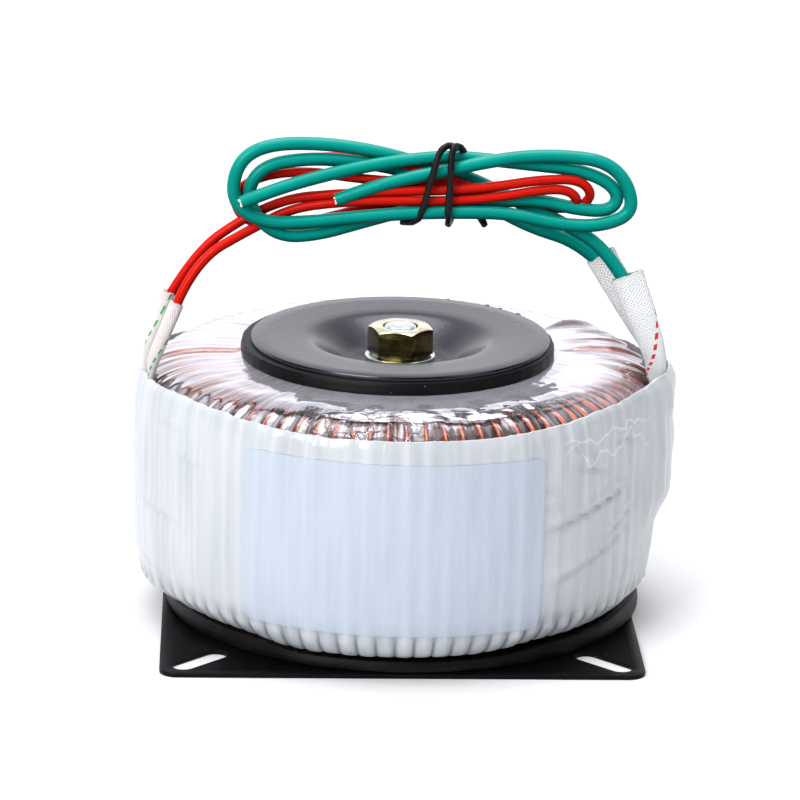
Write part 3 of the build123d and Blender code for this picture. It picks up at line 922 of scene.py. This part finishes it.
class FilmOperator(bpy.types.Operator):
    """Adds the clear film wrapped over the whole ring"""

    bl_idname = "transformer.film"
    bl_label = "Clear film"

    def execute(self, context):
        made = context.scene.transformer
        turns = made.turns
        ridge = made.film_ridge / MM
        random.seed(21)
        heights = [random.uniform(0.5, 1.3) for _ in range(turns)]
        dome_radii = (57.6, 57.2, 56.7, 56.1, 55.4, 54.6, 53.7, 52.7, 51.6, 50.5, 49.3, 48.0, 46.8, 45.6,
                      44.4, 43.2, 42.0, 40.8, 39.6, 38.4, 37.2, 36.0, 34.8, 32.0)
        film = turned(ring_outline(0, dome_radii), turns * 6)

        def drape(angle, r, z):
            if z < 49.5 or r < 33:
                return angle, r, z
            slope = (dome(r + 0.1) - dome(r - 0.1)) / 0.2
            out = Vector((slope, 1)).normalized() if r < FILM_R - 0.05 else Vector((1, 0))
            phase = angle / (360 / turns)
            k = round(phase)
            over = math.exp(-(((phase - k) / 0.2) ** 2))
            reach = 0.07 + 0.93 * rise(r, 49.5, 55.5)
            lift = ridge * (heights[k % turns] * over - 0.4) * reach
            x, y = r * math.cos(math.radians(angle)), r * math.sin(math.radians(angle))
            front = math.exp(-((near(angle, -95) / 55) ** 4))
            lift += (0.05 + 0.30 * front) * wavy(x, y, 0, 4.6) * rise(r, 35.5, 38)
            lift += (0.12 + 0.25 * front) * wavy(x, y, 7, 11) * rise(r, 36, 44)
            for crease_angle, turn, start, end, height in FILM_FOLDS:
                along = rise(r, start, end)
                centre = crease_angle + turn * along
                lift += height * math.exp(-((near(angle, centre) / 0.9) ** 2)) * along
            lift += 0.45 * math.exp(-(((r - 35.4) / 1.3) ** 2))
            seam = math.exp(-((near(angle, FILM_SEAM) / 1.5) ** 2))
            lift -= 0.8 * seam * rise(r, 34, 38)
            return angle, r + out.x * lift, z + out.y * lift

        press_round(film, drape)
        polar_map(film)
        smooth(film, 60)
        finish_piece(film, "film_wrap", clear_film("clear_polyester_film", turns),
                     ["clear_film_wrap"])
        return {"FINISHED"}


def band_swell(angle, z):
    """How far the band stands out over the sleeves, in millimetres."""
    right = 3.6 * rise(z, 21.5, 33) * math.exp(-((near(angle, RIGHT_SLEEVES) / 15) ** 4))
    left = 1.65 * rise(z, 5.5, 9.5) * math.exp(-((near(angle, LEFT_SLEEVES) / 15) ** 4))
    mouth = 1.5 * rise(z, 45, 55) * math.exp(-((near(angle, RIGHT_SLEEVES) / 9.5) ** 4))
    right = right * (1 - 0.12 * rise(z, 40, 50) - 0.16 * rise(z, 47, 56)) + mouth
    return right + left * (1 - 0.08 * rise(z, 36, 50))


def band_lip(angle):
    """The height of the band's torn top edge round the ring."""
    off = abs(near(angle, -90))
    lip = 55.2 + 1.6 * rise(off, 15, 55) - 2.6 * rise(off, 100, 135)
    lip += 1.5 * math.exp(-((near(angle, -9) / 12) ** 4))
    lip += 0.3 * noise.noise(Vector((angle * 0.22, 3.0, 0)))
    return lip + 0.16 * noise.noise(Vector((angle * 0.9, 0, 0)))


# The band's side from its foot up, as (height, radius).
BAND_SIDE = (
    (4.2, 52.4), (4.8, 53.5), (5.7, 54.5), (6.9, 55.5), (8.3, 56.3), (9.9, 56.95), (11.7, 57.4),
    (13.8, 57.75), (16.2, 58.0), (19.0, 58.3), (23.0, 58.5), (44.0, 58.6), (49.0, 58.5), (51.0, 58.35),
    (52.6, 58.12), (54.0, 57.8), (55.0, 57.45), (55.6, 57.2),
)
# Long creases pulled across the band: from (angle, height) to (angle, height), and how deep they are.
BAND_CREASES = (
    ((-60, 33.0), (-30, 39.5), 0.65), ((-58, 20.0), (-28, 30.5), 0.55),
    ((-52, 47.5), (-36, 43.0), 0.55), ((-62, 43.5), (-52, 42.0), 0.40),
    ((-61, 39.0), (-50, 38.0), 0.35), ((-44, 27.5), (-24, 35.5), 0.40),
    ((-40, 50.5), (-24, 48.5), 0.50), ((-55, 52.0), (-44, 50.5), 0.45),
    ((-36, 15.0), (-22, 22.5), 0.40), ((-150, 44.0), (-138, 43.0), 0.45),
    ((-165, 30.0), (-146, 28.0), 0.45), ((-158, 51.0), (-144, 49.0), 0.35),
    ((-168, 17.0), (-152, 13.5), 0.40),
)


def gathering(z):
    """1 where the band is gathered under the ring and 0 above."""
    return rise(13 - z, 0, 7)


def band_radius(z):
    """The band's radius at a height, straight between the points of its side."""
    for (low, low_r), (high, high_r) in zip(BAND_SIDE, BAND_SIDE[1:]):
        if low <= z <= high:
            return low_r + (high_r - low_r) * (z - low) / (high - low)
    return BAND_SIDE[0][1] if z < BAND_SIDE[0][0] else BAND_SIDE[-1][1]


def band_crease(angle, z):
    """How far the band stands out or in by its long creases, and how deep their shadow side is."""
    lift = shadow = 0.0
    for (a0, z0), (a1, z1), size in BAND_CREASES:
        run, climb = (a1 - a0) * 1.02, z1 - z0
        length = math.hypot(run, climb)
        x, y = near(angle, a0) * 1.02, z - z0
        along = (x * run + y * climb) / length
        off = (y * run - x * climb) / length
        if -1 < along < length + 1 and abs(off) < 5:
            fade = size * rise(along, -1, 6) * rise(length + 1 - along, 0, 10)
            lift += fade * (math.exp(-(((off - 0.9) / 1.2) ** 2)) - math.exp(-(((off + 0.7) / 0.8) ** 2)))
            shadow += fade * math.exp(-(((off + 0.4) / 1.1) ** 2))
    return lift, shadow


def band_ridges(angle, turns, heights, gathered):
    """The band's crease over each turn: 1 on the turn and 0 between turns. Where the band is
    gathered under the ring, the creases are round with sharp valleys."""
    phase = angle / (360 / turns)
    k = round(phase)
    off = abs(phase - k) * 2
    height = heights[k % turns]
    sharp = height * (1 - off) ** 2
    rounded = (0.6 + 0.4 * height) * math.sqrt(max(0.0, 1 - off * off))
    return sharp + (rounded - sharp) * gathered


def band_foot(angle):
    """How far the band's lower edge stands above its seat round the ring."""
    left = 1.65 * math.exp(-((near(angle, -142) / 20) ** 4))
    right = 1.25 * rise(near(angle, -90), 15, 36) + 0.5 * rise(near(angle, -90), 50, 66)
    return 0.7 + left + right * (1 - 0.6 * rise(near(angle, -90), 110, 150))


def band_valley(angle, height, ridge):
    """How much painted shade the tape gets between two turns: faint on the side and strong where it is
    gathered.
    """
    gathered = rise(15 - height, 0, 7)
    patch = 0.5 + 0.9 * wavy(angle, height * 0.6, 0, 9)
    side = 0.22 * max(0.0, patch) * (1 - ridge) ** 3
    return min(1.0, max(0.0, side + gathered * (0.10 + 0.95 * (1 - ridge) ** 2.2)))


def keep_valleys(obj, values):
    layer = obj.data.attributes.new("valley_shade", "FLOAT", "POINT")
    layer.data.foreach_set("value", values)


class BandOperator(bpy.types.Operator):
    """Adds the white band and the blank rating label"""

    bl_idname = "transformer.band"
    bl_label = "White band and label"

    def execute(self, context):
        made = context.scene.transformer
        turns = made.turns
        crease = made.band_ridge / MM
        random.seed(5)
        heights = [random.uniform(0.3, 1.3) for _ in range(turns)]
        rows = [4.2, 4.8, 5.7, 6.7, 7.7, 8.7, 9.7, 10.7, 11.7, 12.7, 13.8, 15.0]
        rows += [16.0 + 0.9 * k for k in range(41)]
        rows += [53.0, 53.8, 54.5, 55.1, BAND_TOP]
        outer = [(band_radius(z), z) for z in rows]
        inner = [(56.9, 55.7), (57.05, 55.1), (57.5, 53.6), (57.85, 52), (57.9, 24),
                 (57.3, 15), (56.4, 11), (54.9, 7.2), (53.0, 5.2), (51.9, 4.5)]
        band = turned(outer + inner, turns * 6)
        valleys = []

        def wrap(angle, r, z):
            x, y = r * math.cos(math.radians(angle)), r * math.sin(math.radians(angle))
            outside = abs(r - band_radius(z)) < 0.01 and z < 55.65
            lift = band_swell(angle, z)
            ridge, dark = 1.0, 0.0
            if outside:
                gathered = gathering(z)
                ridge = band_ridges(angle, turns, heights, gathered)
                lift += crease * ridge * (1 + 2.2 * gathered)
                knuckle = 8.6 + 1.2 * noise.noise(Vector((round(angle / (360 / turns)) * 1.7, 0, 0)))
                lift += 0.35 * ridge * math.exp(-(((z - knuckle) / 1.1) ** 2))
                lift += 0.10 * wavy(x, y, z * 0.4, 9) + 0.05 * wavy(x, y, z, 3.2)
                pulled, dark = band_crease(angle, z)
                lift += pulled
                near_right = math.exp(-((near(angle, -14) / 20) ** 2)) * rise(z, 22, 34)
                lift += 0.55 * near_right * wavy(angle * 0.6, z + angle * 0.5, 0, 7)
            if z > 50:
                z = z + (band_lip(angle) - BAND_TOP) * rise(z, 50, BAND_TOP)
                lift -= 0.5 * rise(z, 55.8, 57.4)
            z += band_foot(angle) * (1 - rise(z, 4, 16))
            # The painted shade of the valleys and of the creases' shadow side at this point.
            valleys.append(min(1.0, band_valley(angle, z, min(1.0, ridge)) + 0.15 * dark))
            return angle, r + lift, z

        press_round(band, wrap)
        keep_valleys(band, valleys)
        polar_map(band)
        smooth(band, 50)
        white = film_over_tape("white_tape_under_film", "#B5BABF", "#C3C7CB", "#7C838B")
        finish_piece(band, "white_band", white, ["outer_white_band"])

        low, high = span("rating_label")
        deselect()
        bpy.ops.mesh.primitive_plane_add(size=1)
        label = context.active_object
        press(label, lambda x, y, z: (x * MM * LABEL_WIDTH, y * MM * (high.z - low.z), 0))
        edit(label)
        bpy.ops.mesh.bevel(offset=2.2 * MM, segments=5, affect="VERTICES")
        for axis, pitch, reach in ((Vector((1, 0, 0)), 0.72, 47), (Vector((0, 1, 0)), 2.0, 9)):
            for k in range(-reach, reach + 1):
                bpy.ops.mesh.select_all(action="SELECT")
                bpy.ops.mesh.bisect(plane_co=axis * (k * pitch * MM), plane_no=axis)
        bpy.ops.mesh.select_all(action="SELECT")
        bpy.ops.mesh.remove_doubles(threshold=0.0005 * MM)
        leave()

        valleys = []

        def lay(x, y, z):
            angle = LABEL_ANGLE + math.degrees(x / 58.75)
            height = (low.z + high.z) / 2 + y - 0.013 * x
            east, north = 58.55 * math.cos(math.radians(angle)), 58.55 * math.sin(math.radians(angle))
            ridge = band_ridges(angle, turns, heights, gathering(height))
            # Painted shade between the turns, as on the band.
            valleys.append(band_valley(angle, height, min(1.0, ridge)))
            r = band_radius(height) + 0.27 + 0.75 * crease * ridge
            r += 0.10 * wavy(east, north, height * 0.4, 9)
            return r * math.cos(math.radians(angle)), r * math.sin(math.radians(angle)), height

        press(label, lay)
        keep_valleys(label, valleys)
        polar_map(label)
        thicken(label, 0.2)
        smooth(label, 50)
        paper = film_over_tape("label_paper_under_film", "#AEB8C6", "#B5BECC", "#98A2B2")
        finish_piece(label, "blank_rating_label", paper, ["rating_label"])
        return {"FINISHED"}


class PadsOperator(bpy.types.Operator):
    """Adds the two rubber pads"""

    bl_idname = "transformer.pads"
    bl_label = "Rubber pads"

    def execute(self, context):
        rubber = cut_rubber("cut_sheet_rubber")
        low, high = FOOT_PAD_LOW.z, FOOT_PAD_HIGH.z
        radius = (FOOT_PAD_HIGH.x - FOOT_PAD_LOW.x) / 2
        foot = turned(
            [(21, low), (radius - 0.5, low), (radius, low + 0.4), (radius + 0.1, low + 1.2),
             (radius, high - 0.7), (radius - 0.3, high - 0.2), (radius - 0.9, high),
             (radius - 2.2, high - 0.1), (48, high - 0.4), (21, high - 0.4)], ROUND_STEPS)
        centre = (FOOT_PAD_HIGH + FOOT_PAD_LOW) / 2

        def squeezed(angle, r, z):
            proud = rise(r, 49, 51.5) * rise(z, (low + high) / 2, high)
            rim = 0.9 * band_foot(angle) + 0.25 * noise.noise(Vector((angle * 0.09, 1, 0)))
            return angle, r + 0.12 * wavy(angle, z, 0, 6.0), z + proud * rim

        press_round(foot, squeezed)
        press(foot, lambda x, y, z: (x + centre.x, y + centre.y, z))
        finish_piece(foot, "foot_pad", rubber, ["lower_rubber_pad"])

        low, high = PAD_LOW.z, PAD_HIGH.z
        radius = PAD_HIGH.x
        pad = turned(
            [(21.6, low), (radius - 0.4, low), (radius, low + 0.4), (radius + 0.1, (low + high) / 2),
             (radius, high - 0.5), (radius - 0.2, high - 0.12), (radius - 0.7, high), (32, high),
             (21.6, high)], ROUND_STEPS)

        def ragged(angle, r, z):
            if r < 33.5:
                return angle, r, z - (DISH_FALL * (34 - r) / 13.6 if z > high - 0.01 else 0)
            back = math.exp(-((near(angle, 52) / 22) ** 4))
            lump = back * (0.9 * max(0.0, wavy(angle, 0, 0, 3.2)) + 0.25)
            nick = 0.16 * wavy(angle, 5, z, 4.0)
            return angle, r + 2.4 * lump + nick, z + (0.9 * lump if z > (low + high) / 2 else 0)

        press_round(pad, ragged)
        press(pad, lambda x, y, z: (x - PAD_SHIFT * rise(math.hypot(x, y), 33, 34), y, z))
        finish_piece(pad, "top_pad", rubber, ["upper_rubber_pad"])
        return {"FINISHED"}


class HardwareOperator(bpy.types.Operator):
    """Adds the dished washer, flat washer, nut, bolt and base plate"""

    bl_idname = "transformer.hardware"
    bl_label = "Plate and clamping hardware"

    def execute(self, context):
        satin = powder_coat("black_satin_enamel", "#121118", 0.24, 0.70, 14.0, "#EDEAFF")
        rim, top, under = DISH_HIGH.x - DISH_TRIM, DISH_HIGH.z, DISH_LOW.z
        thick = 1.0
        fall = [(rim - 0.15, top - 0.12), (rim - 0.5, top), (30, top), (24, top),
                (21.6, top - 0.02), (20.8, top - 0.14), (20.0, top - 0.42), (19.2, top - 0.85),
                (18.0, top - 1.6), (16.4, top - 2.7), (14.8, top - 3.9), (13.6, top - 4.85),
                (12.8, top - 5.4), (11.8, top - 5.78), (10.6, top - 5.9), (4.3, top - 5.9)]
        back = [(r, z - thick) for r, z in reversed(fall[1:])]
        dish = turned([(rim, top - 0.4)] + fall + back + [(rim, top - thick + 0.1)], 192)

        def drawn_down(angle, r, z):
            drop = DISH_FALL * min(1, (rim - r) / 13.6) * rise(r, 11, 20)
            return angle, r, max(z - drop, under)

        press_round(dish, drawn_down)
        finish_piece(dish, "pressed_dish", satin, ["dished_washer"])

        washer_zinc = zinc_plate("bright_zinc_washer", "#D3D7DC", 0.2)
        bolt_zinc = zinc_plate("bright_zinc_bolt", "#C6CBD3", 0.26)
        coat = powder_coat("black_powder_coat", "#070709", 0.42, 0.10, 2.4)
        for node_name, bevel, name, finish, slot in (
            ("flat_washer", 0.15, "plain_washer", washer_zinc, "zinc_steel"),
            ("hex_nut", 0.12, "hexagon_nut", yellow_zinc("yellow_zinc_plate"), "yellow_zinc"),
            ("center_bolt", 0.12, "bolt", bolt_zinc, "zinc_steel"),
            ("base_plate", 0.1, "foot_plate", coat, "black_steel"),
        ):
            finish_piece(copy_of_node(node_name, bevel), name, finish, [node_name])
        return {"FINISHED"}


GREEN_TRACED = ("#EBE2DF", "#25B868")
RED_TRACED = ("#E9ECEE", "#E0242B")
SLEEVES = {
    # name: (yarn and tracer, the tracer's turn at the foot, CAD node, stations from the foot up). A
    # station is a place and a size, outwards from the ring and along its rim, in millimetres.
    "red_sleeve_rear": (GREEN_TRACED, 0.07, "red_lead_sleeve_rear", [
        ((-57.3, -8.3, 45.0), (1.0, 4.0)), ((-57.3, -8.3, 54.0), (1.0, 4.0)),
        ((-57.1, -8.2, 57.0), (1.7, 3.8)), ((-56.4, -8.0, 61.5), (2.7, 3.4)),
        ((-54.6, -7.6, 67.0), (3.0, 3.2)), ((-52.1, -7.0, 74.6), (3.1, 3.1))]),
    "red_sleeve_front": (GREEN_TRACED, 0.32, "red_lead_sleeve_front", [
        ((-56.0, -14.0, 45.0), (1.0, 4.0)), ((-56.0, -14.0, 54.0), (1.0, 4.0)),
        ((-55.9, -13.9, 57.0), (1.7, 3.8)), ((-55.2, -13.6, 61.0), (2.8, 3.4)),
        ((-53.0, -12.9, 66.5), (3.1, 3.2)), ((-50.2, -12.0, 73.3), (3.2, 3.1))]),
    "green_sleeve_rear": (RED_TRACED, 0.02, "green_lead_sleeve_rear", [
        ((59.3, -3.3, 36.0), (3.0, 5.8)), ((59.3, -3.3, 53.0), (3.1, 5.8)),
        ((58.2, -3.3, 57.0), (4.2, 5.0)), ((56.6, -3.4, 62.0), (5.2, 3.8)),
        ((51.5, -3.2, 71.0), (6.4, 3.4)), ((44.4, -3.0, 83.0), (7.3, 3.6))]),
    "green_sleeve_front": (RED_TRACED, 0.05, "green_lead_sleeve_front", [
        ((58.3, -11.1, 36.0), (3.0, 5.8)), ((58.3, -11.1, 53.0), (3.1, 5.8)),
        ((57.2, -11.1, 57.0), (4.3, 5.2)), ((56.6, -10.7, 62.0), (5.2, 4.0)),
        ((53.8, -9.7, 70.0), (6.6, 3.6)), ((50.0, -8.4, 79.8), (7.6, 3.8))]),
}


def along_stations(stations, t):
    """Place and size at a share t of the way along a sleeve's stations, smoothly."""
    last = len(stations) - 1
    scaled = t * last
    k = min(int(scaled), last - 1)
    f = scaled - k

    def blend(pick_value):
        p = [Vector(pick_value(stations[min(max(i, 0), last)])) for i in (k - 1, k, k + 1, k + 2)]
        return 0.5 * ((2 * p[1]) + (p[2] - p[0]) * f + (2 * p[0] - 5 * p[1] + 4 * p[2] - p[3]) * f * f
                      + (3 * p[1] - p[0] - 3 * p[2] + p[3]) * f * f * f)

    return blend(lambda s: s[0]), blend(lambda s: (*s[1], 0))


class SleevesOperator(bpy.types.Operator):
    """Adds the four woven sleeves"""

    bl_idname = "transformer.sleeves"
    bl_label = "Woven sleeves"

    def execute(self, context):
        for name, (yarns, tracer_turn, stands_for, stations) in SLEEVES.items():
            deselect()
            bpy.ops.mesh.primitive_cylinder_add(vertices=40, radius=1, depth=1, end_fill_type="NOTHING",
                                                location=(0, 0, 0.5))
            sleeve = context.active_object
            settle(sleeve)
            edit(sleeve)
            rows = 48
            for k in range(1, rows):
                bpy.ops.mesh.select_all(action="SELECT")
                bpy.ops.mesh.bisect(plane_co=(0, 0, k / rows), plane_no=(0, 0, 1))
            leave()
            steps = zip(stations, stations[1:])
            length = sum((Vector(b[0]) - Vector(a[0])).length for a, b in steps) * MM
            map_round(sleeve, "along", lambda x, y, z: z * length)
            seed = len(name) * 1.7

            def drape(x, y, z):
                x, y, z = x * MM, y * MM, z * MM
                angle = math.atan2(y, x)
                frayed = 1 + 0.006 * math.sin(5 * angle + seed) * rise(z, 0.9, 1.0)
                place, size = along_stations(stations, min(1.0, z * frayed))
                ahead, _ = along_stations(stations, min(1.0, z + 0.02))
                behind, _ = along_stations(stations, max(0.0, z - 0.02))
                direction = (ahead - behind).normalized()
                side = Vector((0, 1, 0)).cross(direction).normalized()
                deep = direction.cross(side)
                spot = Vector((2 * math.cos(angle), 2 * math.sin(angle), 9 * z + seed))
                swell = 1 + 0.05 * noise.noise(spot)
                return place + side * (size.x / 2 * x * swell) + deep * (size.y / 2 * y * swell)

            press(sleeve, drape)
            thicken(sleeve, 0.3)
            smooth(sleeve, 60)
            finish_piece(sleeve, name, woven_sleeving(name + "_weave", *yarns, tracer_turn), [stands_for])
        return {"FINISHED"}


class CordsOperator(bpy.types.Operator):
    bl_idname = "transformer.cords"
    bl_label = "Free cords"

    def execute(self, context):
        made = context.scene.transformer
        for name, (kind, points, length, _, others) in LEADS.items():
            getattr(made, kind + "_diameter")
        return {"FINISHED"}


class InnerOperator(bpy.types.Operator):
    """Gives the inner pieces their own finishes"""

    bl_idname = "transformer.inner"
    bl_label = "Inner pieces"

    def execute(self, context):
        finishes = {
            "toroid_core": plain("silicon_steel_strip", "#8D9094", 0.35, 1.0, 0.4, 0.02),
            "core_insulation": plain("yellow_polyester_tape", "#CDB45C", 0.4),
            "primary_winding": enamelled_copper("fine_copper_wire"),
            "interlayer_insulation": plain("brown_film_over_primary", "#4A2F28", 0.25),
        }
        for name, finish in finishes.items():
            cad[name].data.materials.clear()
            cad[name].data.materials.append(finish)
        return {"FINISHED"}


class TransformerPanel(bpy.types.Panel):
    """Lists the transformer's pieces and settings"""

    bl_idname = "VIEW3D_PT_transformer"
    bl_label = "Toroidal transformer"
    bl_space_type = "VIEW_3D"
    bl_region_type = "UI"
    bl_category = "Transformer"

    def draw(self, context):
        layout = self.layout
        for group in (context.scene.transformer, context.scene.transformer_stage):
            for name in group.__annotations__:
                layout.prop(group, name)
        for operator in OPERATORS:
            layout.operator(operator.bl_idname)


OPERATORS = (
    StageOperator, LeadsOperator, TieOperator, SleevesOperator, CordsOperator, WindingOperator,
    FilmOperator, BandOperator, PadsOperator, HardwareOperator, InnerOperator,
)
CLASSES = (TransformerSettings, StageSettings, *OPERATORS, TransformerPanel)


def register():
    for cls in CLASSES:
        bpy.utils.register_class(cls)
    bpy.types.Scene.transformer = PointerProperty(type=TransformerSettings)
    bpy.types.Scene.transformer_stage = PointerProperty(type=StageSettings)


def unregister():
    del bpy.types.Scene.transformer_stage
    del bpy.types.Scene.transformer
    for cls in reversed(CLASSES):
        bpy.utils.unregister_class(cls)


def main():
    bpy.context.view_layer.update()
    register()
    for operator in OPERATORS:
        group, name = operator.bl_idname.split(".")
        getattr(getattr(bpy.ops, group), name)()


if __name__ == "__main__":
    main()
